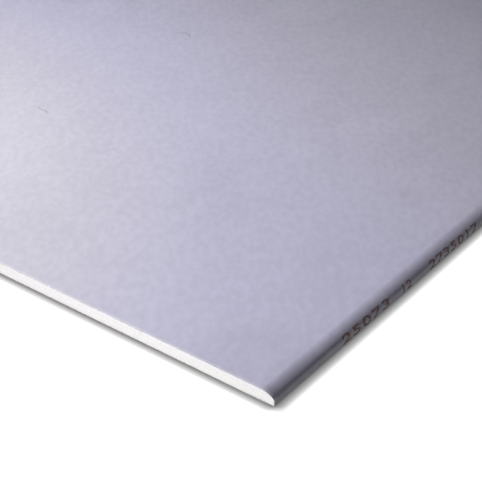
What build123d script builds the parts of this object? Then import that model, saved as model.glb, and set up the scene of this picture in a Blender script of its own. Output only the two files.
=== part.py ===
from build123d import *
import math
import os

# A gypsum board with half-round long edges, lying face up on its back liner.
# Millimetres. X runs along the board, Y across it and Z up from the back.
# The origin is the middle of the back, on the plane the board rests on.
#
# The board is three bonded layers. A gypsum core is cast on the face liner,
# whose borders are folded round both long edges and turned in under the back.
# The back liner is then glued over those two flaps. The short ends are sawn
# square, so the white core and the edges of both papers show there.

# The board as it is sold.
sheet_length = 2000.0
sheet_width = 1250.0
sheet_thickness = 12.5

# The paper liners.
face_liner_thickness = 0.35
back_liner_thickness = 0.30
flap_reach = 25.0  # from the long edge in to the end of the folded flap
back_liner_setback = 6.0  # from the long edge in to the back liner's edge

# The half-round long edge, on the outside of the paper.
edge_run = 15.0  # across the face, from where it starts to fall to the nose
edge_drop = 7.5  # from the face down to where the nose is upright
nose_radius = 4.5  # the tighter of the two arcs, next to the upright nose
crease_radius = 0.8  # the scored fold at the foot of the nose

# What follows from the sizes above.
half_width = sheet_width / 2
nose_centre_height = sheet_thickness - edge_drop
shoulder_radius = ((edge_run - nose_radius) ** 2 + edge_drop**2 - nose_radius**2) / (
    2 * (edge_drop - nose_radius)
)
shoulder_centre = (half_width - edge_run, sheet_thickness - shoulder_radius)
nose_centre = (half_width - nose_radius, nose_centre_height)
crease_centre = (half_width - crease_radius, back_liner_thickness + crease_radius)
arc_meeting_angle = math.degrees(
    math.atan2(
        nose_centre[1] - shoulder_centre[1],
        nose_centre[0] - shoulder_centre[0],
    )
)


def wrapped_section(inset):
    """The cross-section that the face liner wraps, drawn inset from its outside."""
    shoulder = CenterArc(
        shoulder_centre, shoulder_radius - inset, 90, arc_meeting_angle - 90
    )
    nose = CenterArc(
        nose_centre, nose_radius - inset, arc_meeting_angle, -arc_meeting_angle
    )
    crease = CenterArc(crease_centre, crease_radius - inset, 0, -90)
    upright = Line(nose @ 1, crease @ 0)
    long_edge = Curve() + [shoulder, nose, upright, crease]
    other_long_edge = mirror(long_edge, about=Plane.YZ)
    face = Line(mirror(shoulder, about=Plane.YZ) @ 0, shoulder @ 0)
    back = Line(crease @ 1, mirror(crease, about=Plane.YZ) @ 1)
    return make_face(long_edge + other_long_edge + face + back)


def flat_strip(half_span, low, high):
    """A rectangle centred across the board, from one height to another."""
    strip = Rectangle(2 * half_span, high - low, align=(Align.CENTER, Align.MIN))
    return Pos(0, low) * strip


def board_length_of(section):
    """A section of the board run out along its whole length, square at both ends."""
    return extrude(Plane.YZ * section, amount=sheet_length / 2, both=True)


# Between the flaps the core reaches down through the face liner's wrap to the back liner.
between_flaps = flat_strip(
    half_width - flap_reach,
    back_liner_thickness,
    back_liner_thickness + face_liner_thickness,
)


def make_face_liner():
    """The face paper, folded round both long edges and in under the core."""
    outside = wrapped_section(0)
    inside = wrapped_section(face_liner_thickness)
    return board_length_of(outside - inside - between_flaps)


def make_gypsum_core():
    """The cast core: it fills the wrap, and its back is flush with the flaps."""
    return board_length_of(wrapped_section(face_liner_thickness) + between_flaps)


def make_back_liner():
    """The back paper, glued over the core and both flaps, just short of the edges."""
    return board_length_of(
        flat_strip(half_width - back_liner_setback, 0, back_liner_thickness)
    )


pieces = {
    "gypsum_core": make_gypsum_core(),
    "face_liner": make_face_liner(),
    "back_liner": make_back_liner(),
}

os.makedirs("parts", exist_ok=True)
for node, solid in pieces.items():
    export_step(solid, f"parts/{node}.step")
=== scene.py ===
"""A gypsum board with half-round long edges, lying face up, dressed for its picture.

Metres throughout, in the board's own frame: X runs along the board, Y across it and Z up from
the back. The origin is the middle of the back. The end that the camera sees is the one at -X,
and the long edge that it sees is the one at -Y.
"""

import logging
import math
from collections.abc import Sequence
from dataclasses import dataclass
from enum import Enum

import bmesh
import bpy
from mathutils import Matrix, Vector

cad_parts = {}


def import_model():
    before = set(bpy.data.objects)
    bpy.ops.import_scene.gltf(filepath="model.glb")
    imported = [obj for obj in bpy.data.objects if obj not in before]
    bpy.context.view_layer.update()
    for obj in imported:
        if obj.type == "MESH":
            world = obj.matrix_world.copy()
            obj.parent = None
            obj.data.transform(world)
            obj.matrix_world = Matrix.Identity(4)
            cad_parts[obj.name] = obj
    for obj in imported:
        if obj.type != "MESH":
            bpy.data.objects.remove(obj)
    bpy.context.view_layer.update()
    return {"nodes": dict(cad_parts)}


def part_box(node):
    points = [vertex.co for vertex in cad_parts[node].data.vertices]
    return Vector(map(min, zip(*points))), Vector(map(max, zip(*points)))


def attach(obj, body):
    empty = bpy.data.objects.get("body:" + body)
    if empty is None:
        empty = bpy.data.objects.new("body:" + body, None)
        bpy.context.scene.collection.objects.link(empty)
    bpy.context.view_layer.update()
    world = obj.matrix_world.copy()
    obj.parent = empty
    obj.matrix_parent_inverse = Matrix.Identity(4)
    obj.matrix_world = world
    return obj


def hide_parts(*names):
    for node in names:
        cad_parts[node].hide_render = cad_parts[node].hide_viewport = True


LOG = logging.getLogger("board")
MM = 0.001
BODY = "root"

Triple = tuple[float, float, float]
Span = tuple[float, float]
Socket = bpy.types.NodeSocket
Inputs = dict[str | int, object]


class Edge(Enum):
    """A long edge of the board, by the side of Y that it is on."""

    PRINTED = -1
    PLAIN = 1


class SawnEnd(Enum):
    """A short end of the board, by the side of X that it is on."""

    SHOWN = -1
    FAR = 1


class Slot(Enum):
    """The finishes that the board's record names."""

    GYPSUM = "gypsum"
    FACE_PAPER = "face_paper"
    BACK_PAPER = "back_paper"
    PRINT = "edge_print"


@dataclass(frozen=True)
class Pattern:
    """A cloudy pattern from 0 to 1, by the size of one cloud and how many finer layers it has.

    The stretch is how many times longer a cloud is along X, Y and Z. The shift moves the
    pattern, so that no two line up.
    """

    grain: float
    detail: float = 2.0
    stretch: Triple = (1.0, 1.0, 1.0)
    shift: float = 0.0


class Sketch:
    """A node tree that is filled one node at a time."""

    def __init__(self, tree: bpy.types.NodeTree) -> None:
        """Starts from a tree, emptied."""
        self.tree = tree
        tree.nodes.clear()

    def node(self, kind: str, inputs: Inputs | None = None, **options: object) -> bpy.types.Node:
        """Adds one node.

        Args:
            kind: the node's type.
            inputs: what goes into its sockets, by name or number. A socket is linked, and
                anything else becomes the socket's own value.
            options: the node's own settings.

        Returns:
            The node.
        """
        made = self.tree.nodes.new(kind)
        for option, choice in options.items():
            setattr(made, option, choice)
        for socket, value in (inputs or {}).items():
            if isinstance(value, Socket):
                self.tree.links.new(value, made.inputs[socket])
            else:
                made.inputs[socket].default_value = value
        return made

    def result(self, kind: str, inputs: Inputs | None = None, **options: object) -> Socket:
        """Adds one node, as above, and gives the first output that its settings leave in use."""
        outputs = self.node(kind, inputs, **options).outputs
        return next(socket for socket in outputs if socket.enabled)

    def sum(self, operation: str, *terms: object) -> Socket:
        """One step of arithmetic, by the Math node's operation, on sockets or numbers."""
        return self.result("ShaderNodeMath", dict(enumerate(terms)), operation=operation)

    def weighted(self, *parts: tuple[Socket, object]) -> Socket:
        """Adds up values.

        Args:
            parts: each value with its share of the sum.

        Returns:
            The sum.
        """
        total: object = 0.0
        for value, share in parts:
            total = self.sum("MULTIPLY_ADD", value, share, total)
        return total

    def noise(self, place: Socket, pattern: Pattern) -> Socket:
        """Adds a cloudy pattern.

        Args:
            place: the coordinates that it reads.
            pattern: its sizes.

        Returns:
            The pattern's value.
        """
        shrunk = [1.0 / longer for longer in pattern.stretch]
        laid = {"Vector": place, "Location": (pattern.shift,) * 3, "Scale": shrunk}
        moved = self.result("ShaderNodeMapping", laid)
        sizes = {"Vector": moved, "Scale": 1.0 / pattern.grain, "Detail": pattern.detail}
        return self.result("ShaderNodeTexNoise", sizes)

    def ramp(self, value: Socket, span: Span, low: float = 0.0, high: float = 1.0) -> Socket:
        """Turns a value within a span smoothly into one between low and high."""
        ends = {"From Min": span[0], "From Max": span[1], "To Min": low, "To Max": high}
        return self.result(
            "ShaderNodeMapRange", {"Value": value, **ends}, interpolation_type="SMOOTHSTEP"
        )

    def blend(self, share: object, below: object, above: object, kind: str = "MIX") -> Socket:
        """Mixes two colours.

        Args:
            share: how much of the second shows, from 0 to 1.
            below: the first colour, a socket or four numbers.
            above: the second colour.
            kind: the Mix node's way of blending.

        Returns:
            The mixed colour.
        """
        factor, first, second = 0, 6, 7
        colours = {factor: share, first: below, second: above}
        return self.result("ShaderNodeMix", colours, data_type="RGBA", blend_type=kind)

    def between(self, value: Socket, span: Span, low: Triple, high: Triple) -> Socket:
        """Turns a value within a span smoothly into a colour between low and high."""
        return self.blend(self.ramp(value, span), (*low, 1.0), (*high, 1.0))

    def bump(self, height: Socket, depth: float, strength: float) -> Socket:
        """Turns a height from 0 to 1 into a relief of some depth."""
        sizes = {"Height": height, "Distance": depth, "Strength": strength}
        return self.result("ShaderNodeBump", sizes)


class Surface:
    """A material in the making, drawn on the coordinates of the piece that has it."""

    def __init__(self, name: str) -> None:
        """Starts an empty material.

        Args:
            name: the material's name.
        """
        self.material = bpy.data.materials.new(name)
        self.material.use_nodes = True
        self.sketch = Sketch(self.material.node_tree)

    def coordinates(self) -> Socket:
        """Adds the piece's own coordinates."""
        return self.sketch.node("ShaderNodeTexCoord").outputs["Object"]

    def show(self, shader: Socket) -> bpy.types.Material:
        """Ends the material with what it shows."""
        self.sketch.node("ShaderNodeOutputMaterial", {"Surface": shader})
        return self.material

    def paint(
        self, colour: Socket, roughness: object, shine: float, relief: Socket | None = None
    ) -> bpy.types.Material:
        """Ends the material as an opaque surface.

        Args:
            colour: its colour.
            roughness: its roughness, a number or a socket.
            shine: the strength of its gloss.
            relief: the bumps on it, if it has any.

        Returns:
            The material.
        """
        looks = {"Base Color": colour, "Roughness": roughness, "Specular IOR Level": shine}
        if relief is not None:
            looks["Normal"] = relief
        return self.show(self.sketch.result("ShaderNodeBsdfPrincipled", looks))


class Recipe:
    """A Geometry Nodes tree with named sizes, run once on a piece and then taken off it."""

    def __init__(self, name: str) -> None:
        """Starts a tree with a way in and a way out for the piece's own mesh.

        Args:
            name: the tree's name.
        """
        self.tree = bpy.data.node_groups.new(name, "GeometryNodeTree")
        self.sketch = Sketch(self.tree)
        self.values: dict[str, object] = {}
        for way in ("INPUT", "OUTPUT"):
            self.tree.interface.new_socket(
                name="Geometry", in_out=way, socket_type="NodeSocketGeometry"
            )
        self.start = self.sketch.node("NodeGroupInput")

    @property
    def mesh(self) -> Socket:
        """The piece's own mesh as it comes in."""
        return self.start.outputs["Geometry"]

    def size(self, name: str, value: float) -> Socket:
        """Adds a named input.

        Args:
            name: what the size is called on the modifier.
            value: its value, a whole number for a seed or a count.

        Returns:
            The socket that carries it into the tree.
        """
        kind = "NodeSocketInt" if isinstance(value, int) else "NodeSocketFloat"
        added = self.tree.interface.new_socket(name=name, in_out="INPUT", socket_type=kind)
        self.values[added.identifier] = value
        return self.start.outputs[name]

    def chance(self, kind: str, seed: object, **limits: object) -> Socket:
        """A random value for each point, by the node's own names for its kind and limits."""
        drawn = {**limits, "Seed": seed}
        return self.sketch.result("FunctionNodeRandomValue", drawn, data_type=kind)

    def thread(self, curve: Socket, breadth: float, height: float, sides: int) -> Socket:
        """Makes a closed thread along a curve.

        Args:
            curve: the line that it follows.
            breadth: its breadth.
            height: its height.
            sides: how many sides its oval section has.

        Returns:
            The thread's mesh.
        """
        circle = self.sketch.result(
            "GeometryNodeCurvePrimitiveCircle", {"Resolution": sides, "Radius": 1.0}
        )
        flattened = {"Geometry": circle, "Scale": (breadth / 2.0, height / 2.0, 1.0)}
        oval = self.sketch.result("GeometryNodeTransform", flattened)
        swept = {"Curve": curve, "Profile Curve": oval, "Fill Caps": True}
        return self.sketch.result("GeometryNodeCurveToMesh", swept)

    def settle(
        self, piece: bpy.types.Object, shape: Socket, material: bpy.types.Material
    ) -> None:
        """Ends the tree, runs it on a piece and leaves a plain mesh there.

        Args:
            piece: the piece to change.
            shape: the tree's last geometry.
            material: what the result is made of.
        """
        real = self.sketch.result("GeometryNodeRealizeInstances", {"Geometry": shape})
        dressed = self.sketch.result(
            "GeometryNodeSetMaterial", {"Geometry": real, "Material": material}
        )
        self.sketch.node("NodeGroupOutput", {"Geometry": dressed})
        modifier = piece.modifiers.new(self.tree.name, "NODES")
        modifier.node_group = self.tree
        for identifier, value in self.values.items():
            modifier[identifier] = value
        settle_modifiers(piece)

    def push(
        self, piece: bpy.types.Object, axis: str, distance: Socket, material: bpy.types.Material
    ) -> None:
        """Ends the tree by moving each point along one axis, and runs it on a piece.

        Args:
            piece: the piece to change.
            axis: X, Y or Z.
            distance: how far each point moves.
            material: what the result is made of.
        """
        offset = self.sketch.result("ShaderNodeCombineXYZ", {axis: distance})
        moved = {"Geometry": self.mesh, "Offset": offset}
        self.settle(piece, self.sketch.result("GeometryNodeSetPosition", moved), material)


def settle_modifiers(piece: bpy.types.Object) -> None:
    """Turns what a piece's modifiers make into its own plain mesh.

    Args:
        piece: the piece to change.
    """
    graph = bpy.context.evaluated_depsgraph_get()
    finished = bpy.data.meshes.new_from_object(piece.evaluated_get(graph))
    piece.modifiers.clear()
    piece.data = finished


def new_piece(
    name: str,
    vertices: Sequence[Vector],
    faces: Sequence[Sequence[int]],
    edges: Sequence[tuple[int, int]] = (),
) -> bpy.types.Object:
    """Makes a mesh object at the origin.

    Args:
        name: the piece's name.
        vertices: its points, in the board's frame.
        faces: the numbers of each face's points.
        edges: the numbers of each loose edge's points.

    Returns:
        The object, in the scene.
    """
    mesh = bpy.data.meshes.new(name)
    mesh.from_pydata(vertices, edges, faces)
    piece = bpy.data.objects.new(name, mesh)
    bpy.context.scene.collection.objects.link(piece)
    return piece


def mark_points(piece: bpy.types.Object, name: str, marks: Sequence[float]) -> None:
    """Gives the first points of a piece a number each.

    Args:
        piece: the piece.
        name: what the numbers are called.
        marks: one number for each point, in order.
    """
    numbers = piece.data.attributes.new(name, "FLOAT", "POINT")
    for point, mark in enumerate(marks):
        numbers.data[point].value = mark


def turn_outwards(piece: bpy.types.Object) -> None:
    """Makes every face of a closed piece point away from its inside.

    Args:
        piece: the piece to change.
    """
    shape = bmesh.new()
    shape.from_mesh(piece.data)
    bmesh.ops.recalc_face_normals(shape, faces=shape.faces)
    shape.to_mesh(piece.data)
    shape.free()


def smooth_below(piece: bpy.types.Object, degrees: float) -> None:
    """Shades a piece smoothly, with a crisp line wherever it turns by more than some degrees."""
    piece.data.shade_smooth()
    piece.data.set_sharp_from_angle(angle=math.radians(degrees))


def hand_over(piece: bpy.types.Object, slot: Slot, *nodes: str) -> None:
    """Fastens a finished piece to the board and reports it.

    Args:
        piece: the finished piece.
        slot: the record's finish that it takes.
        nodes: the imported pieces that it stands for.
    """
    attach(piece, BODY)
    if nodes:
        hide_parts(*nodes)
    piece.data.calc_loop_triangles()
    LOG.info("%s: %d triangles, %s", piece.name, len(piece.data.loop_triangles), slot.value)


@dataclass(frozen=True)
class Station:
    """A place on the board's cross-section, and the direction that is outwards there."""

    y: float
    z: float
    out_y: float
    out_z: float

    def point(self, x: float, proud: float = 0.0) -> Vector:
        """The place at x along the board, moved outwards by proud."""
        return Vector((x, self.y + proud * self.out_y, self.z + proud * self.out_z))

    def on(self, edge: Edge) -> "Station":
        """The same place on the given side of the board."""
        return Station(edge.value * self.y, self.z, edge.value * self.out_y, self.out_z)


@dataclass(frozen=True)
class BoardSection:
    """The board's cross-section: a flat face with a half-round edge along each side.

    The face paper wraps both edges and turns in under the core. A distance along the wrap is
    measured on its outside, from the line where the face begins to fall. The first six sizes
    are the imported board's own, and the next five are those of its edge profile. The steps say
    how finely each stretch of the wrap is drawn.
    """

    half_length: float
    half_width: float
    thickness: float
    face_paper: float
    back_paper: float
    back_paper_reach: float
    edge_run: float = 15.0 * MM
    edge_drop: float = 7.5 * MM
    nose_radius: float = 4.5 * MM
    crease_radius: float = 0.8 * MM
    flap_reach: float = 25.0 * MM
    shoulder_steps: int = 16
    nose_steps: int = 12
    upright_steps: int = 4
    crease_steps: int = 6
    flap_steps: int = 3

    @classmethod
    def of_frame(cls) -> "BoardSection":
        """Reads the board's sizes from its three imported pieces.

        Returns:
            The section.
        """
        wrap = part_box("face_liner")[1]
        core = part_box("gypsum_core")[1]
        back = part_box("back_liner")[1]
        return cls(wrap.x, wrap.y, wrap.z, wrap.z - core.z, back.z, back.y)

    @property
    def flat_half_width(self) -> float:
        """From the middle of the board to where its face begins to fall."""
        return self.half_width - self.edge_run

    @property
    def shoulder_radius(self) -> float:
        """The wide arc that leaves the face and runs on into the nose, with no break at either."""
        across = (self.edge_run - self.nose_radius) ** 2 + self.edge_drop**2
        return (across - self.nose_radius**2) / (2.0 * (self.edge_drop - self.nose_radius))

    @property
    def shoulder_turn(self) -> float:
        """How far in radians the wrap has turned down where the shoulder meets the nose."""
        run = self.edge_run - self.nose_radius
        return math.asin(run / (self.shoulder_radius - self.nose_radius))

    @property
    def shoulder_length(self) -> float:
        """The shoulder's length along the outside of the wrap."""
        return self.shoulder_radius * self.shoulder_turn

    @property
    def nose_length(self) -> float:
        """The nose's length along the outside of the wrap."""
        return self.nose_radius * (math.pi / 2.0 - self.shoulder_turn)

    @property
    def upright_length(self) -> float:
        """The height of the upright below the nose."""
        return self.thickness - self.edge_drop - self.back_paper - self.crease_radius

    @property
    def crease_length(self) -> float:
        """The length of the fold at the foot of the nose."""
        return self.crease_radius * math.pi / 2.0

    @property
    def foot_distance(self) -> float:
        """The distance along the wrap to the top of the fold at its foot."""
        return self.shoulder_length + self.nose_length + self.upright_length

    def arc(self, middle: Span, radius: float, turn: float, inset: float) -> Station:
        """A place on one of the wrap's arcs.

        Args:
            middle: the arc's centre, in Y and Z.
            radius: its outside radius.
            turn: the direction from the centre, in radians from straight up.
            inset: how far inside the wrap's outside the place is.

        Returns:
            The place.
        """
        out_y, out_z = math.sin(turn), math.cos(turn)
        reach = radius - inset
        return Station(middle[0] + reach * out_y, middle[1] + reach * out_z, out_y, out_z)

    def at(self, distance: float, inset: float = 0.0) -> Station:
        """Follows the wrap of the +Y edge.

        Args:
            distance: how far to go from where the face begins to fall. On the flat of the
                face it is negative.
            inset: how far inside the wrap's outside the place is.

        Returns:
            The place at that distance.
        """
        if distance <= 0.0:
            return Station(self.flat_half_width + distance, self.thickness - inset, 0.0, 1.0)
        if distance <= self.shoulder_length:
            middle = (self.flat_half_width, self.thickness - self.shoulder_radius)
            return self.arc(middle, self.shoulder_radius, distance / self.shoulder_radius, inset)
        distance -= self.shoulder_length
        nose_height = self.thickness - self.edge_drop
        if distance <= self.nose_length:
            middle = (self.half_width - self.nose_radius, nose_height)
            turn = self.shoulder_turn + distance / self.nose_radius
            return self.arc(middle, self.nose_radius, turn, inset)
        distance -= self.nose_length
        if distance <= self.upright_length:
            return Station(self.half_width - inset, nose_height - distance, 1.0, 0.0)
        distance -= self.upright_length
        fold = (self.half_width - self.crease_radius, self.back_paper + self.crease_radius)
        if distance <= self.crease_length:
            turn = math.pi / 2.0 + distance / self.crease_radius
            return self.arc(fold, self.crease_radius, turn, inset)
        distance -= self.crease_length
        return Station(fold[0] - distance, self.back_paper + inset, 0.0, -1.0)

    def edge_distances(self) -> list[float]:
        """Chooses distances along the wrap that draw its edge smoothly.

        Returns:
            The distances, from the face to the flap's end.
        """
        stretches = (
            (self.shoulder_length, self.shoulder_steps),
            (self.nose_length, self.nose_steps),
            (self.upright_length, self.upright_steps),
            (self.crease_length, self.crease_steps),
            (self.flap_reach - self.crease_radius, self.flap_steps),
        )
        marks = [0.0]
        for length, steps in stretches:
            start = marks[-1]
            marks.extend(start + length * (step + 1) / steps for step in range(steps))
        return marks

    def core_heights(self, y: float) -> Span:
        """The core's lowest and highest point at a distance across the board.

        Args:
            y: the distance from the board's middle line.

        Returns:
            The height of its foot and of its top.
        """
        across = abs(y)
        paper = self.face_paper
        nose_middle = self.half_width - self.nose_radius
        nose_start = nose_middle + self.nose_radius * math.sin(self.shoulder_turn)
        top = self.thickness - paper
        if across > nose_start:
            radius = self.nose_radius - paper
            rise = math.sqrt(max(0.0, radius**2 - (across - nose_middle) ** 2))
            top = self.thickness - self.edge_drop + rise
        elif across > self.flat_half_width:
            radius = self.shoulder_radius - paper
            rise = math.sqrt(radius**2 - (across - self.flat_half_width) ** 2)
            top = self.thickness - self.shoulder_radius + rise
        foot = self.back_paper
        fold_middle = self.half_width - self.crease_radius
        if across > fold_middle:
            radius = self.crease_radius - paper
            fall = math.sqrt(max(0.0, radius**2 - (across - fold_middle) ** 2))
            foot = self.back_paper + self.crease_radius - fall
        elif across > self.half_width - self.flap_reach:
            foot = self.back_paper + paper
        return foot, top


@dataclass(frozen=True)
class TonePatch:
    """A faint soft patch painted into the face's colour, darker where its strength is below
    nothing. Small ones lighten or darken the paper in soft spots, and wide ones and those on the
    near corner's shoulder are painted light and shade.

    It is even out to the even distance from its middle, and gone at its spread.
    """

    x: float
    y: float
    spread: float
    strength: float
    even: float = 0.0

    def tone(self, sketch: Sketch, place: Socket, level: float) -> Socket:
        """Adds the patch to a material.

        Args:
            sketch: the material's tree.
            place: the coordinates that it reads.
            level: the height of the face that the patch is on.

        Returns:
            The patch's strength in its even middle, and nothing outside its spread.
        """
        ends = {0: place, 1: (self.x, self.y, level)}
        away = sketch.result("ShaderNodeVectorMath", ends, operation="DISTANCE")
        return sketch.ramp(away, (self.even, self.spread), self.strength, 0.0)


@dataclass(frozen=True)
class PaperFinish:
    """A board paper: a close mottle in soft clouds, short fibres along the board, a fine tooth.

    The mottle and the tooth are a little longer along the paper's lay, which is an angle from X.
    White dust from the saw lies on the paper near both ends. Soft patches can lighten or darken it,
    some of them painted light and shade, and painted sheens can make broad patches paler and less
    violet.
    """

    name: str
    light: Triple
    dark: Triple
    fibre_tone: Triple
    fibre_share: float = 0.22
    lay: float = math.radians(38.0)
    mottle: Pattern = Pattern(8.0 * MM, detail=4.0, stretch=(1.5, 1.0, 1.0), shift=2.1)
    mottle_share: float = 0.68
    cloud: Pattern = Pattern(24.0 * MM, stretch=(1.6, 1.0, 1.0))
    cloud_share: float = 0.18
    broad_cloud: Pattern = Pattern(216.0 * MM, detail=1.0, shift=3.7)
    broad_share: float = 0.14
    tone_span: Span = (0.34, 0.66)
    fibre: Pattern = Pattern(0.7 * MM, stretch=(7.0, 1.0, 1.0), shift=1.3)
    fibre_span: Span = (0.56, 0.78)
    fibre_relief: float = 0.5
    tooth: Pattern = Pattern(1.6 * MM, detail=3.0, stretch=(1.5, 1.0, 1.0), shift=0.9)
    tooth_depth: float = 0.05 * MM
    tooth_strength: float = 0.6
    roughness: float = 0.65
    roughness_swing: float = 0.05
    roughness_span: Span = (0.3, 0.7)
    shine: float = 0.15
    face_level: float = 12.5 * MM
    tone_patches_and_painted_light: tuple[TonePatch, ...] = ()
    painted_sheens: tuple[TonePatch, ...] = ()
    painted_sheen_tint: Triple = (1.0, 1.0, 0.86)
    dust: Triple = (0.80, 0.79, 0.78)
    dust_share: float = 0.0
    dust_span: Span = (999.2 * MM, 999.7 * MM)

    def material(self) -> bpy.types.Material:
        """Builds the paper's material.

        Returns:
            A material that reads the piece's own coordinates.
        """
        surface = Surface(self.name)
        sketch, place = surface.sketch, surface.coordinates()
        spin = {"Vector": place, "Angle": -self.lay}
        turned = sketch.result("ShaderNodeVectorRotate", spin, rotation_type="Z_AXIS")
        clouds = sketch.noise(place, self.cloud)
        tone = sketch.weighted(
            (clouds, self.cloud_share),
            (sketch.noise(place, self.broad_cloud), self.broad_share),
            (sketch.noise(turned, self.mottle), self.mottle_share),
        )
        coloured = sketch.between(tone, self.tone_span, self.dark, self.light)
        fibres = sketch.noise(place, self.fibre)
        strands = sketch.ramp(fibres, self.fibre_span, 0.0, self.fibre_share)
        coloured = sketch.blend(strands, coloured, (*self.fibre_tone, 1.0))
        # The tone patches scale the colour: small ones are soft spots, and wide ones and those at
        # the near corner are painted light and shade.
        share: object = 1.0
        for tone_patch in self.tone_patches_and_painted_light:
            share = sketch.sum("ADD", share, tone_patch.tone(sketch, place, self.face_level))
        scaled = {0: coloured, "Scale": share}
        coloured = sketch.result("ShaderNodeVectorMath", scaled, operation="SCALE")
        # Painted sheen: each makes a broad patch paler and less violet, standing in for a whitish
        # sheen of light on the face.
        for painted_sheen in self.painted_sheens:
            strength = painted_sheen.tone(sketch, place, self.face_level)
            coloured = sketch.blend(strength, coloured, (*self.painted_sheen_tint, 1.0), "MULTIPLY")
        along = sketch.sum("ABSOLUTE", sketch.result("ShaderNodeSeparateXYZ", {"Vector": place}))
        dusted = sketch.ramp(along, self.dust_span, 0.0, self.dust_share)
        coloured = sketch.blend(dusted, coloured, (*self.dust, 1.0))
        tooth = sketch.noise(turned, self.tooth)
        relief = sketch.weighted((tooth, 1.0), (fibres, self.fibre_relief))
        bump = sketch.bump(relief, self.tooth_depth, self.tooth_strength)
        roughest = self.roughness + self.roughness_swing
        smoothest = self.roughness - self.roughness_swing
        roughness = sketch.ramp(clouds, self.roughness_span, roughest, smoothest)
        return surface.paint(coloured, roughness, self.shine, bump)


@dataclass(frozen=True)
class PlasterFinish:
    """Set gypsum, sawn across: chalky white, with a faint drag of the saw and small air pits, whose
    darker colour is painted shade.
    """

    name: str = "sawn_gypsum"
    light: Triple = (0.848, 0.834, 0.860)
    dark: Triple = (0.772, 0.754, 0.777)
    tone_span: Span = (0.36, 0.64)
    grain: Pattern = Pattern(1.1 * MM, detail=4.0)
    drag: Pattern = Pattern(0.6 * MM, stretch=(1.0, 1.0, 9.0), shift=0.7)
    drag_share: float = 0.5
    pit_spacing: float = 3.2 * MM
    pit_span: Span = (0.08, 0.2)
    pit_shade_tone: Triple = (0.55, 0.53, 0.52)
    pit_shade_share: float = 0.35
    relief_depth: float = 0.12 * MM
    relief_strength: float = 0.5
    roughness: float = 0.85
    shine: float = 0.2

    def material(self) -> bpy.types.Material:
        """Builds the gypsum's material.

        Returns:
            A material that reads the piece's own coordinates.
        """
        surface = Surface(self.name)
        sketch, place = surface.sketch, surface.coordinates()
        grain = sketch.noise(place, self.grain)
        drag = sketch.noise(place, self.drag)
        cells = {"Vector": place, "Scale": 1.0 / self.pit_spacing}
        pits = sketch.ramp(sketch.result("ShaderNodeTexVoronoi", cells), self.pit_span, 1.0, 0.0)
        tone = sketch.weighted((grain, 1.0 - self.drag_share), (drag, self.drag_share))
        chalk = sketch.between(tone, self.tone_span, self.dark, self.light)
        # Painted shade: the pits are darkened in the colour, standing in for shade inside them.
        shade = sketch.sum("MULTIPLY", pits, self.pit_shade_share)
        pit_shaded = sketch.blend(shade, chalk, (*self.pit_shade_tone, 1.0))
        relief = sketch.weighted((grain, 1.0), (drag, 1.0), (pits, -1.0))
        bump = sketch.bump(relief, self.relief_depth, self.relief_strength)
        return surface.paint(pit_shaded, self.roughness, self.shine, bump)


@dataclass(frozen=True)
class SpottedFinish:
    """A dark finish that is lighter in small spots, as ink on paper or a loose paper fibre is."""

    name: str
    dark: Triple
    light: Triple
    spots: Pattern = Pattern(2.5 * MM)
    spot_span: Span = (0.4, 0.6)
    roughness: float = 0.8
    shine: float = 0.2

    def material(self) -> bpy.types.Material:
        """Builds the material.

        Returns:
            A material that reads the piece's own coordinates.
        """
        surface = Surface(self.name)
        spots = surface.sketch.noise(surface.coordinates(), self.spots)
        colour = surface.sketch.between(spots, self.spot_span, self.dark, self.light)
        return surface.paint(colour, self.roughness, self.shine)


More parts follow.
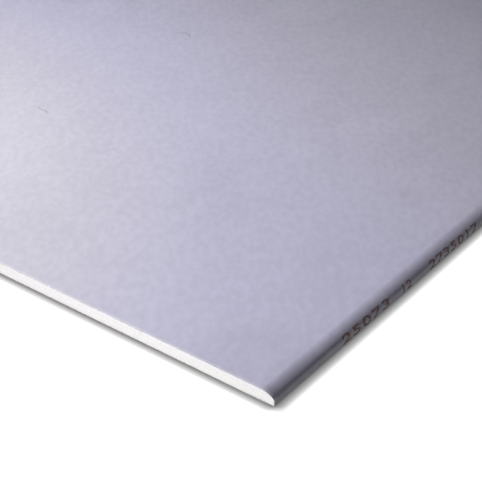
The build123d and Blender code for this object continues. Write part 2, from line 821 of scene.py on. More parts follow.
@dataclass
class FaceLiner:
    """The face paper: one sheet over the face, round both long edges and in under the core.

    It lies a hair inside the board's outline, so that the print and the fibres on it stay
    within the board's size, and it cockles a little between the edges.
    """

    section: BoardSection
    finish: PaperFinish
    print_room: float = 0.04 * MM
    saw_room: float = 0.25 * MM
    length_steps: int = 160
    face_steps: int = 120
    cockle_depth: float = 0.08 * MM
    cockle_length: float = 110.0 * MM
    cockle_detail: float = 2.0
    cockle_fade: float = 40.0 * MM
    crisp_angle: float = 35.0

    def distances(self) -> list[float]:
        """Chooses distances along the wrap.

        Returns:
            The distances, from the middle of the face to the end of the flap.
        """
        half_face = self.section.flat_half_width
        steps = self.face_steps // 2
        flat = [half_face * step / steps - half_face for step in range(steps)]
        return flat + self.section.edge_distances()

    def stations(self, inset: float) -> list[Station]:
        """The whole wrap across the board, from the -Y flap's end to the +Y flap's end."""
        half = [self.section.at(distance, inset) for distance in self.distances()]
        return [place.on(Edge.PRINTED) for place in reversed(half[1:])] + half

    def cockle_share(self, place: Station) -> float:
        """How far the outside may cockle: nothing at the edges and fully away from them."""
        room = (self.section.flat_half_width - abs(place.y)) / self.cockle_fade
        return min(1.0, max(0.0, room)) if place.out_z > 0.0 else 0.0

    def sheet(self) -> bpy.types.Object:
        """Makes the closed sheet: its outside in short squares and its inside in long ones.

        Returns:
            The sheet, with a number on each point that says how far it may cockle.
        """
        outside = self.stations(self.print_room)
        inside = self.stations(self.section.face_paper)
        reach = self.section.half_length - self.saw_room
        last = self.length_steps
        columns = last + 1
        along = [reach * (2.0 * step / last - 1.0) for step in range(columns)]
        points = [place.point(x) for place in outside for x in along]
        lining = len(points)
        points += [place.point(x) for place in inside for x in (-reach, reach)]
        faces: list[Sequence[int]] = []
        for row in range(len(outside) - 1):
            here, there = row * columns, (row + 1) * columns
            inner, inner_next = lining + 2 * row, lining + 2 * row + 2
            faces += [(here + k, here + k + 1, there + k + 1, there + k) for k in range(last)]
            faces.append((inner, inner_next, inner_next + 1, inner + 1))
            faces.append((here, there, inner_next, inner))
            faces.append((here + last, inner + 1, inner_next + 1, there + last))
        for row in (0, len(outside) - 1):
            rim = [row * columns + k for k in range(columns)]
            faces.append([*rim, lining + 2 * row + 1, lining + 2 * row])
        piece = new_piece("face_paper", points, faces)
        turn_outwards(piece)
        shares = [self.cockle_share(place) for place in outside for _ in along]
        mark_points(piece, "cockle_share", shares)
        return piece

    def cockle(self, piece: bpy.types.Object) -> None:
        """Lets the face sink in soft hollows by up to the cockle depth.

        Args:
            piece: the sheet.
        """
        recipe = Recipe("face_cockle")
        sketch = recipe.sketch
        depth = recipe.size("Cockle Depth", self.cockle_depth)
        length = recipe.size("Cockle Length", self.cockle_length)
        place = sketch.result("GeometryNodeInputPosition")
        scale = sketch.sum("DIVIDE", 1.0, length)
        sizes = {"Vector": place, "Scale": scale, "Detail": self.cockle_detail}
        cloud = sketch.result("ShaderNodeTexNoise", sizes)
        share = sketch.result("GeometryNodeInputNamedAttribute", {"Name": "cockle_share"})
        fall = sketch.sum("MULTIPLY", sketch.sum("MULTIPLY", cloud, share), depth)
        recipe.push(piece, "Z", sketch.sum("MULTIPLY", fall, -1.0), self.finish.material())

    def build(self) -> None:
        """Makes and dresses the face paper."""
        piece = self.sheet()
        self.cockle(piece)
        smooth_below(piece, self.crisp_angle)
        hand_over(piece, Slot.FACE_PAPER, "face_liner")


@dataclass
class GypsumCore:
    """The cast core. Its sides follow the wrap, and its two ends are sawn square.

    Each end is a fine net of points that the saw's drag and the air pits push inwards.
    """

    section: BoardSection
    finish: PlasterFinish
    saw_room: float = 0.3 * MM
    net_step: float = 0.9 * MM
    net_rows: int = 14
    flap_step: float = 0.01 * MM
    drag_depth: float = 0.18 * MM
    drag_spacing: float = 0.9 * MM
    drag_squeeze: Triple = (1.0, 1.0, 0.25)
    drag_detail: float = 1.0
    pit_depth: float = 0.55 * MM
    pit_spacing: float = 5.0 * MM
    pit_span: Span = (0.05, 0.22)
    crisp_angle: float = 50.0

    def columns(self) -> list[float]:
        """Chooses distances across the board for the columns of points of the sawn ends.

        Returns:
            The distances, from the -Y side to the +Y side.
        """
        section = self.section
        outermost = section.half_width - section.face_paper
        flap_end = section.half_width - section.flap_reach
        margin = section.flat_half_width - flap_end
        curved = [
            abs(section.at(distance, section.face_paper).y)
            for distance in section.edge_distances()
            if 0.0 < distance <= section.shoulder_length + section.nose_length
        ]
        steps, extra = round(flap_end / self.net_step), round(margin / self.net_step)
        half = {flap_end * step / steps for step in range(steps + 1)}
        half |= {flap_end + margin * step / extra for step in range(1, extra + 1)}
        fold_start = section.half_width - section.crease_radius
        half |= {flap_end + self.flap_step, fold_start, outermost, *curved}
        kept = sorted(y for y in half if y <= outermost)
        return [-y for y in reversed(kept[1:])] + kept

    def block(self) -> bpy.types.Object:
        """Makes the closed core.

        Returns:
            The core, with a number on each point that tells its two sawn ends apart.
        """
        across = self.columns()
        rows = self.net_rows + 1
        reach = self.section.half_length - self.saw_room
        points: list[Vector] = []
        for end in SawnEnd:
            for y in across:
                foot, top = self.section.core_heights(y)
                points += [
                    Vector((end.value * reach, y, foot + (top - foot) * row / self.net_rows))
                    for row in range(rows)
                ]
        other = len(across) * rows
        faces: list[Sequence[int]] = []
        for column in range(len(across) - 1):
            here, there = column * rows, (column + 1) * rows
            for row in range(self.net_rows):
                net = (here + row, here + row + 1, there + row + 1, there + row)
                faces += [net, tuple(other + number for number in net)]
            for rim in (0, self.net_rows):
                faces.append((here + rim, there + rim, other + there + rim, other + here + rim))
        for column in (0, len(across) - 1):
            for low in range(column * rows, column * rows + self.net_rows):
                faces.append((low, low + 1, other + low + 1, other + low))
        piece = new_piece("gypsum", points, faces)
        turn_outwards(piece)
        mark_points(piece, "sawn_side", [math.copysign(1.0, point.x) for point in points])
        return piece

    def saw(self, piece: bpy.types.Object) -> None:
        """Pushes the ends' points inwards by the saw's drag and the air pits.

        Args:
            piece: the core.
        """
        recipe = Recipe("sawn_ends")
        sketch = recipe.sketch
        drag_depth = recipe.size("Drag Depth", self.drag_depth)
        drag_spacing = recipe.size("Drag Spacing", self.drag_spacing)
        pit_depth = recipe.size("Pit Depth", self.pit_depth)
        pit_spacing = recipe.size("Pit Spacing", self.pit_spacing)
        place = sketch.result("GeometryNodeInputPosition")
        squeeze = {0: place, 1: self.drag_squeeze}
        long_marks = sketch.result("ShaderNodeVectorMath", squeeze, operation="MULTIPLY")
        drag_scale = sketch.sum("DIVIDE", 1.0, drag_spacing)
        marks = {"Vector": long_marks, "Scale": drag_scale, "Detail": self.drag_detail}
        drag = sketch.result("ShaderNodeTexNoise", marks)
        cells = {"Vector": place, "Scale": sketch.sum("DIVIDE", 1.0, pit_spacing)}
        pits = sketch.ramp(sketch.result("ShaderNodeTexVoronoi", cells), self.pit_span, 1.0, 0.0)
        depth = sketch.weighted((drag, drag_depth), (pits, pit_depth))
        side = sketch.result("GeometryNodeInputNamedAttribute", {"Name": "sawn_side"})
        inwards = sketch.sum("MULTIPLY", sketch.sum("MULTIPLY", depth, side), -1.0)
        recipe.push(piece, "X", inwards, self.finish.material())

    def build(self) -> None:
        """Makes and dresses the core."""
        piece = self.block()
        self.saw(piece)
        smooth_below(piece, self.crisp_angle)
        hand_over(piece, Slot.GYPSUM, "gypsum_core")


@dataclass
class BackLiner:
    """The back paper: a flat sheet glued over the core and both flaps."""

    section: BoardSection
    finish: PaperFinish
    saw_room: float = 0.2 * MM
    length_steps: int = 80
    width_steps: int = 50
    slit_softness: float = 0.06 * MM
    softness_steps: int = 2
    crisp_angle: float = 35.0

    def build(self) -> None:
        """Makes and dresses the back paper, with its slit and sawn edges a little soft."""
        reach = self.section.half_length - self.saw_room
        half_width = self.section.back_paper_reach
        stride = self.length_steps + 1
        along = [reach * (2.0 * step / self.length_steps - 1.0) for step in range(stride)]
        points = [
            Vector((x, half_width * (2.0 * row / self.width_steps - 1.0), 0.0))
            for row in range(self.width_steps + 1)
            for x in along
        ]
        faces = [
            (start, start + 1, start + stride + 1, start + stride)
            for row in range(self.width_steps)
            for start in range(row * stride, row * stride + self.length_steps)
        ]
        piece = new_piece("back_paper", points, faces)
        wall = piece.modifiers.new("wall", "SOLIDIFY")
        wall.thickness = self.section.back_paper
        wall.offset = 1.0
        soft = piece.modifiers.new("soft_edges", "BEVEL")
        soft.width = self.slit_softness
        soft.segments = self.softness_steps
        settle_modifiers(piece)
        piece.data.materials.append(self.finish.material())
        smooth_below(piece, self.crisp_angle)
        hand_over(piece, Slot.BACK_PAPER, "back_liner")


@dataclass(frozen=True)
class PrintedNumber:
    """One plain number of the edge print.

    Its start is its distance from the shown end. Its width is how many times wider than usual
    its figures are.
    """

    figures: str
    start: float
    width: float


@dataclass
class EdgePrint:
    """Plain numbers in ink on the nose and the upright of one long edge.

    Each is drawn flat, cut into narrow bands and laid round the edge as a thin closed film.
    """

    section: BoardSection
    finish: SpottedFinish
    numbers: tuple[PrintedNumber, ...] = (
        PrintedNumber("25073", start=0.105, width=2.2),
        PrintedNumber("12", start=0.206, width=1.3),
        PrintedNumber("2735017", start=0.258, width=1.85),
        PrintedNumber("3125", start=0.366, width=1.85),
    )
    edge: Edge = Edge.PRINTED
    figure_height: float = 9.4 * MM
    figure_spacing: float = 1.17
    stroke_swell: float = 0.36 * MM
    foot_gap: float = 0.5 * MM
    band: float = 0.55 * MM
    paper_inset: float = 0.04 * MM
    film: float = 0.02 * MM
    cap_share: float = 0.729
    merge_distance: float = 0.002 * MM

    def flat_number(self, number: PrintedNumber) -> bpy.types.Mesh:
        """Draws one number flat, its foot on y = 0 and its start at x = 0.

        Args:
            number: what to draw.

        Returns:
            The flat mesh.
        """
        curve = bpy.data.curves.new(f"number_{number.figures}", "FONT")
        curve.body = number.figures
        curve.size = self.figure_height / self.cap_share
        curve.space_character = self.figure_spacing
        curve.offset = self.stroke_swell
        drawn = bpy.data.objects.new(curve.name, curve)
        bpy.context.scene.collection.objects.link(drawn)
        graph = bpy.context.evaluated_depsgraph_get()
        mesh = bpy.data.meshes.new_from_object(drawn.evaluated_get(graph))
        bpy.data.objects.remove(drawn)
        mesh.transform(Matrix.Diagonal((number.width, 1.0, 1.0, 1.0)))
        return mesh

    def banded(self, mesh: bpy.types.Mesh) -> bmesh.types.BMesh:
        """Cuts a flat mesh into narrow level bands, so that it can follow the round of the edge.

        Args:
            mesh: the flat mesh.

        Returns:
            Its triangles, to be freed after use.
        """
        shape = bmesh.new()
        shape.from_mesh(mesh)
        bmesh.ops.remove_doubles(shape, verts=shape.verts, dist=self.merge_distance)
        for step in range(math.ceil(self.figure_height / self.band) + 1):
            bmesh.ops.bisect_plane(
                shape,
                geom=[*shape.verts, *shape.edges, *shape.faces],
                plane_co=(0.0, step * self.band, 0.0),
                plane_no=(0.0, 1.0, 0.0),
            )
        bmesh.ops.triangulate(shape, faces=shape.faces)
        return shape

    def lay(self, flat: Vector, start: float, proud: float) -> Vector:
        """Lays a point of a flat number on the edge.

        Args:
            flat: the point, along the number and up it.
            start: where the number starts, from the board's shown end.
            proud: how far the point stands off the outline of the wrap.

        Returns:
            The point in the board's frame.
        """
        distance = self.section.foot_distance - self.foot_gap - flat.y
        place = self.section.at(distance).on(self.edge)
        return place.point(flat.x + start - self.section.half_length, proud)

    def build(self) -> None:
        """Makes and dresses every number of the print as one piece."""
        points: list[Vector] = []
        faces: list[Sequence[int]] = []
        under, over = -self.paper_inset - self.film, self.film - self.paper_inset
        for number in self.numbers:
            shape = self.banded(self.flat_number(number))
            shape.verts.index_update()
            base, count = len(points), len(shape.verts)
            for proud in (under, over):
                points += [self.lay(vertex.co, number.start, proud) for vertex in shape.verts]
            for face in shape.faces:
                ring = [vertex.index for vertex in face.verts]
                faces.append([base + index for index in reversed(ring)])
                faces.append([base + count + index for index in ring])
            for edge in shape.edges:
                if edge.is_boundary:
                    first, second = (vertex.index + base for vertex in edge.verts)
                    faces.append((first, second, second + count, first + count))
            shape.free()
        piece = new_piece("edge_numbers", points, faces)
        turn_outwards(piece)
        piece.data.materials.append(self.finish.material())
        hand_over(piece, Slot.PRINT)


@dataclass
class StrayFibres:
    """Loose fibres pressed into the face paper.

    Two lie where the picture shows them, each given by the places it passes, from the near
    corner of the board. The others are scattered thinly over the half of the face that the
    picture doesn't show.
    """

    section: BoardSection
    finish: SpottedFinish
    seed: int = 7
    density: float = 5.0
    length: float = 12.0 * MM
    bow: float = 1.0
    bow_points: int = 9
    shortest: Triple = (0.4, 0.6, 1.0)
    longest: Triple = (1.2, 1.1, 1.0)
    breadth: float = 1.0 * MM
    height: float = 0.06 * MM
    sides: int = 8
    sunk: float = 0.09 * MM
    margin: float = 20.0 * MM
    steps: int = 20
    shown: tuple[tuple[Span, ...], ...] = (
        ((0.5330, 0.5474), (0.5367, 0.5366), (0.5350, 0.5310), (0.5300, 0.5266)),
        ((0.2607, 0.5382), (0.2595, 0.5290), (0.2600, 0.5250), (0.2572, 0.5210)),
    )

    @property
    def level(self) -> float:
        """The height of the fibres' middle line."""
        return self.section.thickness - self.sunk

    def scattered(self, material: bpy.types.Material) -> bpy.types.Object:
        """Scatters fibres over the far half of the face.

        Args:
            material: what the fibres are made of.

        Returns:
            The scattered fibres.
        """
        start, end = -self.margin, self.section.half_length - self.margin
        side = self.section.flat_half_width - self.margin
        corners = ((start, -side), (end, -side), (end, side), (start, side))
        points = [Vector((x, y, self.level)) for x, y in corners]
        piece = new_piece("scattered_fibres", points, [(0, 1, 2, 3)])
        recipe = Recipe(piece.name)
        sketch = recipe.sketch
        density = recipe.size("Fibres per Square Metre", self.density)
        length = recipe.size("Fibre Length", self.length)
        seed = recipe.size("Seed", self.seed)
        field = {"Mesh": recipe.mesh, "Density": density, "Seed": seed}
        spots = sketch.result("GeometryNodeDistributePointsOnFaces", field)
        arc = {"Radius": length, "Start Angle": 0.0, "Sweep Angle": self.bow}
        bow = sketch.result("GeometryNodeCurveArc", {"Resolution": self.bow_points, **arc})
        whole_turn = (0.0, 0.0, 2.0 * math.pi)
        copies = {
            "Points": spots,
            "Instance": recipe.thread(bow, self.breadth, self.height, self.sides),
            "Rotation": recipe.chance("FLOAT_VECTOR", seed, Min=(0.0, 0.0, 0.0), Max=whole_turn),
            "Scale": recipe.chance("FLOAT_VECTOR", seed, Min=self.shortest, Max=self.longest),
        }
        laid = sketch.result("GeometryNodeInstanceOnPoints", copies)
        recipe.settle(piece, laid, material)
        return piece

    def placed(
        self, number: int, bends: Sequence[Span], material: bpy.types.Material
    ) -> bpy.types.Object:
        """Lays one fibre where the picture shows it.

        Args:
            number: the fibre's number, for its name.
            bends: the places it passes, from the near corner of the board.
            material: what it is made of.

        Returns:
            The fibre.
        """
        half_length, half_width = self.section.half_length, self.section.half_width
        line = [
            Vector((along - half_length, across - half_width, self.level))
            for along, across in bends
        ]
        links = [(k, k + 1) for k in range(len(line) - 1)]
        piece = new_piece(f"shown_fibre_{number}", line, [], links)
        recipe = Recipe(piece.name)
        sketch = recipe.sketch
        steps = recipe.size("Steps", self.steps)
        bent = sketch.result("GeometryNodeMeshToCurve", {"Mesh": recipe.mesh})
        soft = sketch.result(
            "GeometryNodeCurveSplineType", {"Curve": bent}, spline_type="CATMULL_ROM"
        )
        even = sketch.result("GeometryNodeResampleCurve", {"Curve": soft, "Count": steps})
        hair = recipe.thread(even, self.breadth, self.height, self.sides)
        recipe.settle(piece, hair, material)
        return piece

    def build(self) -> None:
        """Makes and dresses the scattered and the shown fibres."""
        material = self.finish.material()
        pieces = [self.scattered(material)]
        for number, bends in enumerate(self.shown, start=1):
            pieces.append(self.placed(number, bends, material))
        for piece in pieces:
            hand_over(piece, Slot.FACE_PAPER)


@dataclass(frozen=True)
class Strewing:
    """How copies of one small thing lie along a line.

    A place for one comes at every spacing, and a share of the places has one. Each leans by up
    to the swing, in radians, to either side, and is between its smallest size and 1 along X, Y
    and Z. The seed step keeps its random numbers apart from those of other things.
    """

    kind: str
    spacing: float
    share: float
    swing: float
    smallest: Triple
    seed_step: int

    def along(self, recipe: Recipe, rim: Socket, item: Socket, seed: Socket) -> Socket:
        """Strews the copies.

        Args:
            recipe: the tree to add to.
            rim: the line as a curve.
            item: what is copied.
            seed: what the tree's random numbers start from.

        Returns:
            The copies.
        """
        sketch = recipe.sketch
        spacing = recipe.size(f"{self.kind} Spacing", self.spacing)
        share = recipe.size(f"{self.kind} Share", self.share)
        lean_seed, size_seed, keep_seed = (
            sketch.sum("ADD", seed, float(self.seed_step + step)) for step in (0, 2, 3)
        )
        line = {"Curve": rim, "Length": spacing}
        places = sketch.node("GeometryNodeCurveToPoints", line, mode="LENGTH").outputs
        follow = sketch.result(
            "FunctionNodeAlignRotationToVector",
            {"Vector": places["Tangent"]},
            axis="Y",
            pivot_axis="X",
        )
        left, right = (-self.swing, 0.0, 0.0), (self.swing, 0.0, 0.0)
        lean = recipe.chance("FLOAT_VECTOR", lean_seed, Min=left, Max=right)
        turn = sketch.result("FunctionNodeEulerToRotation", {"Euler": lean})
        turned = sketch.result(
            "FunctionNodeRotateRotation",
            {"Rotation": follow, "Rotate By": turn},
            rotation_space="LOCAL",
        )
        whole = (1.0, 1.0, 1.0)
        copies = {
            "Points": places["Points"],
            "Selection": recipe.chance("BOOLEAN", keep_seed, Probability=share),
            "Instance": item,
            "Rotation": turned,
            "Scale": recipe.chance("FLOAT_VECTOR", size_seed, Min=self.smallest, Max=whole),
        }
        return sketch.result("GeometryNodeInstanceOnPoints", copies)


@dataclass
class SawnFringe:
    """What the saw leaves along one paper's cut edge: short torn fibres and a few small scraps.

    All of it lies flat on the sawn end, within the board's length. The bend is that of a fibre
    1 long, which is then made as long as its reach.
    """

    name: str
    section: BoardSection
    finish: SpottedFinish
    slot: Slot
    seed: int
    hairs: Strewing = Strewing(
        kind="Hair",
        spacing=1.5 * MM,
        share=0.35,
        swing=0.8,
        smallest=(1.0, 0.4, 0.3),
        seed_step=0,
    )
    hair_reach: float = 1.3 * MM
    hair_thickness: float = 0.08 * MM
    hair_sides: int = 4
    hair_points: int = 5
    hair_bend: tuple[Triple, ...] = ((0.0, 0.0, 0.0), (0.0, 0.35, -0.4), (0.0, 0.1, -1.0))
    scraps: Strewing = Strewing(
        kind="Scrap",
        spacing=3.7 * MM,
        share=0.17,
        swing=0.25,
        smallest=(1.0, 0.4, 0.4),
        seed_step=10,
    )
    scrap_breadth: float = 1.3 * MM
    scrap_depth_share: float = 0.5
    scrap_hang_share: float = -0.27
    scrap_rounds: int = 2
    room: float = 0.16 * MM

    def rim(self, end: SawnEnd) -> list[Vector]:
        """The line along the paper's cut edge at one end, with the core on its inner side.

        Args:
            end: the sawn end.

        Returns:
            The line's points in order.
        """
        x = end.value * (self.section.half_length - self.room)
        if self.slot is Slot.BACK_PAPER:
            reach, level = self.section.back_paper_reach, self.section.back_paper / 2.0
            return [Vector((x, reach, level)), Vector((x, -reach, level))]
        inset = self.section.face_paper / 2.0
        half = [self.section.at(mark, inset) for mark in self.section.edge_distances()]
        across = [place.on(Edge.PRINTED) for place in reversed(half)] + half
        return [place.point(x) for place in across]

    def hair(self, recipe: Recipe) -> Socket:
        """Adds one torn fibre, hanging down from the origin.

        Args:
            recipe: the tree to add to.

        Returns:
            The fibre's mesh.
        """
        sketch = recipe.sketch
        start, middle, end = self.hair_bend
        bend = {"Start": start, "Middle": middle, "End": end, "Resolution": self.hair_points}
        bow = sketch.result("GeometryNodeCurveQuadraticBezier", bend)
        reach = recipe.size("Hair Reach", self.hair_reach)
        size = sketch.result("ShaderNodeCombineXYZ", {"X": reach, "Y": reach, "Z": reach})
        long_bow = sketch.result("GeometryNodeTransform", {"Geometry": bow, "Scale": size})
        thickness = self.hair_thickness
        return recipe.thread(long_bow, thickness, thickness, self.hair_sides)

    def scrap(self, recipe: Recipe) -> Socket:
        """Adds one flat scrap of paper, hanging down from the origin.

        Args:
            recipe: the tree to add to.

        Returns:
            The scrap's mesh.
        """
        sketch = recipe.sketch
        breadth = recipe.size("Scrap Breadth", self.scrap_breadth)
        depth = sketch.sum("MULTIPLY", breadth, self.scrap_depth_share)
        hang = sketch.sum("MULTIPLY", breadth, self.scrap_hang_share)
        sizes = {"X": self.hair_thickness, "Y": breadth, "Z": depth}
        one_across = {"Radius": 0.5, "Subdivisions": self.scrap_rounds}
        crumb = {
            "Geometry": sketch.result("GeometryNodeMeshIcoSphere", one_across),
            "Translation": sketch.result("ShaderNodeCombineXYZ", {"Z": hang}),
            "Scale": sketch.result("ShaderNodeCombineXYZ", sizes),
        }
        return sketch.result("GeometryNodeTransform", crumb)

    def build(self) -> None:
        """Makes and dresses the fringe of both ends as one piece."""
        points: list[Vector] = []
        links: list[tuple[int, int]] = []
        for end in SawnEnd:
            line = self.rim(end)
            start = len(points)
            points += line
            links += [(start + k, start + k + 1) for k in range(len(line) - 1)]
        piece = new_piece(self.name, points, [], links)
        recipe = Recipe(self.name)
        sketch = recipe.sketch
        seed = recipe.size("Seed", self.seed)
        rim = sketch.result("GeometryNodeMeshToCurve", {"Mesh": recipe.mesh})
        hairs = self.hairs.along(recipe, rim, self.hair(recipe), seed)
        scraps = self.scraps.along(recipe, rim, self.scrap(recipe), seed)
        fringe = sketch.node("GeometryNodeJoinGeometry", {"Geometry": hairs})
        sketch.tree.links.new(scraps, fringe.inputs["Geometry"])
        recipe.settle(piece, fringe.outputs["Geometry"], self.finish.material())
        hand_over(piece, self.slot)


@dataclass(frozen=True)
class PictureView:
    """Where the picture was taken from, measured from the board's near bottom corner.

    The lens is the one that draws the picture's two edge directions and the board's known
    thickness at the size they have in it.
    """

    along: float = -0.6909
    across: float = -0.4935
    height: float = 0.7122
    heading: float = math.radians(37.427)
    tilt: float = math.radians(32.711)
    focal_pixels: float = 1296.6
    picture_pixels: float = 482.0
    sensor: float = 36.0
    nearest: float = 0.05
    furthest: float = 50.0

    def set_up(self, section: BoardSection) -> None:
        """Makes the scene's camera.

        Args:
            section: the board that it looks at.
        """
        data = bpy.data.cameras.new("picture")
        data.sensor_width = self.sensor
        data.lens = self.sensor * self.focal_pixels / self.picture_pixels
        data.clip_start = self.nearest
        data.clip_end = self.furthest
        camera = bpy.data.objects.new("picture", data)
        bpy.context.scene.collection.objects.link(camera)
        forward = Vector(
            (
                math.cos(self.heading) * math.cos(self.tilt),
                math.sin(self.heading) * math.cos(self.tilt),
                -math.sin(self.tilt),
            )
        )
        right = Vector((math.sin(self.heading), -math.cos(self.heading), 0.0))
        up = right.cross(forward)
        turned = Matrix((right, up, -forward)).transposed().to_4x4()
        corner = Vector((-section.half_length, -section.half_width, 0.0))
        place = corner + Vector((self.along, self.across, self.height))
        camera.matrix_world = Matrix.Translation(place) @ turned
        bpy.context.scene.camera = camera


@dataclass(frozen=True)
class Softbox:
    """A square studio lamp, named for what it lights. Its fan is how wide it shines, in degrees.

    One that isn't mirrored leaves no glare on the board.
    """

    name: str
    place: Triple
    aim: Triple
    side: float
    watts: float
    fan: float
    mirrored: bool = True

    def hang(self) -> None:
        """Hangs the lamp and turns it to its aim."""
        data = bpy.data.lights.new(self.name, "AREA")
        data.shape = "SQUARE"
        data.size = self.side
        data.energy = self.watts
        data.spread = math.radians(self.fan)
        lamp = bpy.data.objects.new(self.name, data)
        bpy.context.scene.collection.objects.link(lamp)
        direction = Vector(self.aim) - Vector(self.place)
        turn = direction.to_track_quat("-Z", "Y").to_matrix().to_4x4()
        lamp.matrix_world = Matrix.Translation(self.place) @ turn
        lamp.visible_camera = False
        lamp.visible_glossy = self.mirrored


@dataclass
class Studio:
    """The plain pale floor, the soft lamps and the white surroundings.

    The floor's shadow curve turns how open the floor is, from beside the board to well away
    from it, into its brightness.
    """

    floor_reach: float = 12.0
    floor_drop: float = 0.05 * MM
    floor_tone: float = 0.30
    floor_bounce: float = 0.32
    bounce_tint: Triple = (1.0, 0.98, 0.80)
    shown_tone: float = 0.20
    contact_reach: float = 11.0 * MM
    contact_rays: int = 16
    half_open: float = 0.5
    shadow_curve: tuple[Span, ...] = (
        (0.0, 0.11),
        (0.24, 0.225),
        (0.42, 0.30),
        (0.62, 0.365),
        (0.76, 0.525),
        (0.90, 0.78),
        (1.0, 1.0),
    )
    room_light: float = 0.02
    lamps: tuple[Softbox, ...] = (
        Softbox(
            name="side_light",
            place=(-0.551, 1.951, 1.638),
            aim=(-1.088, -0.310, 0.0),
            side=0.45,
            watts=7.35,
            fan=39.0,
        ),
        Softbox(
            name="end_light",
            place=(-2.031, -0.630, 0.085),
            aim=(0.386, 0.229, 0.0),
            side=0.14,
            watts=6.4,
            fan=151.0,
            mirrored=False,
        ),
        Softbox(
            name="far_light",
            place=(0.139, 0.890, 2.493),
            aim=(1.156, 0.174, 0.0),
            side=0.90,
            watts=19.4,
            fan=90.0,
        ),
    )

    def matt(self, sketch: Sketch, tone: float, glow: Inputs) -> Socket:
        """Adds a matt grey that also glows.

        Args:
            sketch: the tree to add to.
            tone: how light the grey is.
            glow: the glow's own settings.

        Returns:
            The shader.
        """
        grey = sketch.result("ShaderNodeBsdfDiffuse", {"Color": (tone, tone, tone, 1.0)})
        light = sketch.result("ShaderNodeEmission", glow)
        return sketch.result("ShaderNodeAddShader", {0: grey, 1: light})

    def direct_rays(self, sketch: Sketch) -> Socket:
        """Finds the rays that show a surface to the eye, in a mirror or through glass.

        Args:
            sketch: the tree to add to.

        Returns:
            1 for such a ray, and else 0.
        """
        path = sketch.node("ShaderNodeLightPath").outputs
        seen = sketch.sum("MAXIMUM", path["Is Camera Ray"], path["Is Glossy Ray"])
        return sketch.sum("MAXIMUM", seen, path["Is Transmission Ray"])

    def floor(self) -> None:
        """Lays the floor: white to the eye with a soft shadow at the board, dimmer to the board."""
        reach, level = self.floor_reach, -self.floor_drop
        corners = ((-reach, -reach), (reach, -reach), (reach, reach), (-reach, reach))
        piece = new_piece("floor", [Vector((x, y, level)) for x, y in corners], [(0, 1, 2, 3)])
        surface = Surface("studio_floor")
        sketch = surface.sketch
        near = {"Distance": self.contact_reach}
        contact = sketch.node("ShaderNodeAmbientOcclusion", near, samples=self.contact_rays)
        opening = {"Value": contact.outputs["AO"], "From Min": self.half_open}
        fall_off = sketch.node(
            "ShaderNodeFloatCurve", {"Value": sketch.result("ShaderNodeMapRange", opening)}
        )
        curve = fall_off.mapping.curves[0]
        for end in (0, -1):
            curve.points[end].location = self.shadow_curve[end]
        for mark in self.shadow_curve[1:-1]:
            curve.points.new(*mark)
        fall_off.mapping.update()
        shown = self.matt(sketch, self.shown_tone, {"Strength": fall_off.outputs["Value"]})
        bounce = {"Color": (*self.bounce_tint, 1.0), "Strength": self.floor_bounce}
        dim = self.matt(sketch, self.floor_tone, bounce)
        sides = {0: self.direct_rays(sketch), 1: dim, 2: shown}
        piece.data.materials.append(surface.show(sketch.result("ShaderNodeMixShader", sides)))

    def surroundings(self) -> None:
        """Makes the world: white to the eye, and a faint even light on the board."""
        world = bpy.data.worlds.new("studio")
        bpy.context.scene.world = world
        world.use_nodes = True
        sketch = Sketch(world.node_tree)
        levels = {"Value": self.direct_rays(sketch), "To Min": self.room_light, "To Max": 1.0}
        strength = sketch.result("ShaderNodeMapRange", levels)
        white = {"Color": (1.0, 1.0, 1.0, 1.0), "Strength": strength}
        light = sketch.result("ShaderNodeBackground", white)
        sketch.node("ShaderNodeOutputWorld", {"Surface": light})

    def set_up(self) -> None:
        """Lays the floor, hangs the lamps and sets the plain picture settings."""
        self.floor()
        self.surroundings()
        for lamp in self.lamps:
            lamp.hang()
        bpy.context.scene.view_settings.view_transform = "Standard"


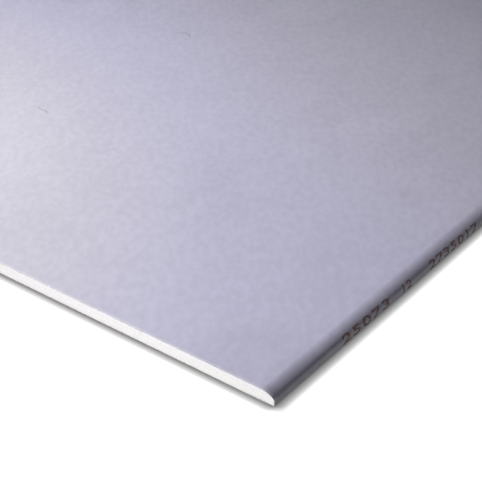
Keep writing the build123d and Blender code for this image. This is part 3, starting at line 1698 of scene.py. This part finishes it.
@dataclass(frozen=True)
class Finishes:
    """What the board's pieces are made of."""

    face_paper: PaperFinish = PaperFinish(
        name="face_paper",
        light=(0.500, 0.486, 0.629),
        dark=(0.448, 0.436, 0.570),
        fibre_tone=(0.415, 0.405, 0.53),
        dust_share=0.32,
        dust_span=(996.0 * MM, 999.7 * MM),
        # Patches with a spread under 70 mm lighten or darken the paper in soft spots. Those of 70
        # mm and more are painted light and shade that evens out how the lamps fall on the face.
        tone_patches_and_painted_light=(
            TonePatch(-0.477, -0.450, 0.034, 0.045),
            TonePatch(-0.793, -0.591, 0.028, 0.035),
            TonePatch(-0.637, -0.398, 0.024, 0.040),
            TonePatch(-0.604, -0.366, 0.022, 0.030),
            TonePatch(-0.390, -0.425, 0.032, -0.045),
            TonePatch(-0.647, -0.544, 0.030, -0.045),
            TonePatch(-0.560, -0.387, 0.028, -0.040),
            TonePatch(-0.925, -0.585, 0.034, -0.025),
            TonePatch(-0.120, -0.355, 0.150, -0.130),
            TonePatch(-0.478, 0.112, 0.018, -0.060),
            TonePatch(-0.456, 0.068, 0.036, 0.070),
            TonePatch(-0.295, -0.165, 0.070, 0.050),
            TonePatch(-0.840, -0.100, 0.200, 0.050),
            TonePatch(-0.730, -0.345, 0.075, -0.040),
            TonePatch(-0.780, -0.390, 0.075, -0.040),
            TonePatch(-0.845, -0.440, 0.080, -0.040),
            TonePatch(-0.535, -0.425, 0.070, 0.050),
            TonePatch(-0.970, -0.575, 0.070, -0.050, 0.020),
            TonePatch(-0.999, -0.6175, 0.014, -0.26),
            TonePatch(-0.984, -0.6175, 0.017, -0.15),
            # Painted shade on the near corner's shoulder: these four darken it by up to a quarter
            # at the corner.
            TonePatch(-0.965, -0.6175, 0.020, -0.10),
            TonePatch(-0.943, -0.6175, 0.022, -0.06),
        ),
        # Painted sheen: two broad patches where the paper is paler and less violet, standing in for
        # a whitish sheen of light.
        painted_sheens=(
            TonePatch(-1.20, 0.15, 0.74, 0.82, 0.46),
            TonePatch(0.05, -0.60, 0.86, 0.40, 0.52),
        ),
    )
    back_paper: PaperFinish = PaperFinish(
        name="back_paper",
        light=(0.44, 0.40, 0.35),
        dark=(0.37, 0.33, 0.285),
        fibre_tone=(0.24, 0.21, 0.18),
        fibre_share=0.45,
        roughness=0.75,
        dust_share=0.75,
    )
    gypsum: PlasterFinish = PlasterFinish()
    ink: SpottedFinish = SpottedFinish(
        name="edge_ink",
        dark=(0.105, 0.055, 0.062),
        light=(0.26, 0.175, 0.19),
        spots=Pattern(1.4 * MM, detail=3.0),
        spot_span=(0.35, 0.65),
        roughness=0.6,
        shine=0.3,
    )
    stray_fibre: SpottedFinish = SpottedFinish(
        name="stray_fibre", dark=(0.20, 0.19, 0.25), light=(0.27, 0.26, 0.33)
    )
    face_fringe: SpottedFinish = SpottedFinish(
        name="face_fringe", dark=(0.25, 0.24, 0.28), light=(0.42, 0.41, 0.46)
    )
    back_fringe: SpottedFinish = SpottedFinish(
        name="back_fringe", dark=(0.26, 0.23, 0.20), light=(0.38, 0.35, 0.31)
    )


def main() -> None:
    """Sets up the picture, then builds the board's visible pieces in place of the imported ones."""
    logging.basicConfig(level=logging.INFO, format="%(message)s")
    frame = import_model()
    LOG.info("packed pieces: %s", ", ".join(sorted(frame["nodes"])))
    section = BoardSection.of_frame()
    finishes = Finishes()
    PictureView().set_up(section)
    Studio().set_up()
    FaceLiner(section, finishes.face_paper).build()
    GypsumCore(section, finishes.gypsum).build()
    BackLiner(section, finishes.back_paper).build()
    EdgePrint(section, finishes.ink).build()
    StrayFibres(section, finishes.stray_fibre).build()
    SawnFringe("face_fringe", section, finishes.face_fringe, Slot.FACE_PAPER, seed=3).build()
    SawnFringe("back_fringe", section, finishes.back_fringe, Slot.BACK_PAPER, seed=5).build()


if __name__ == "__main__":
    main()
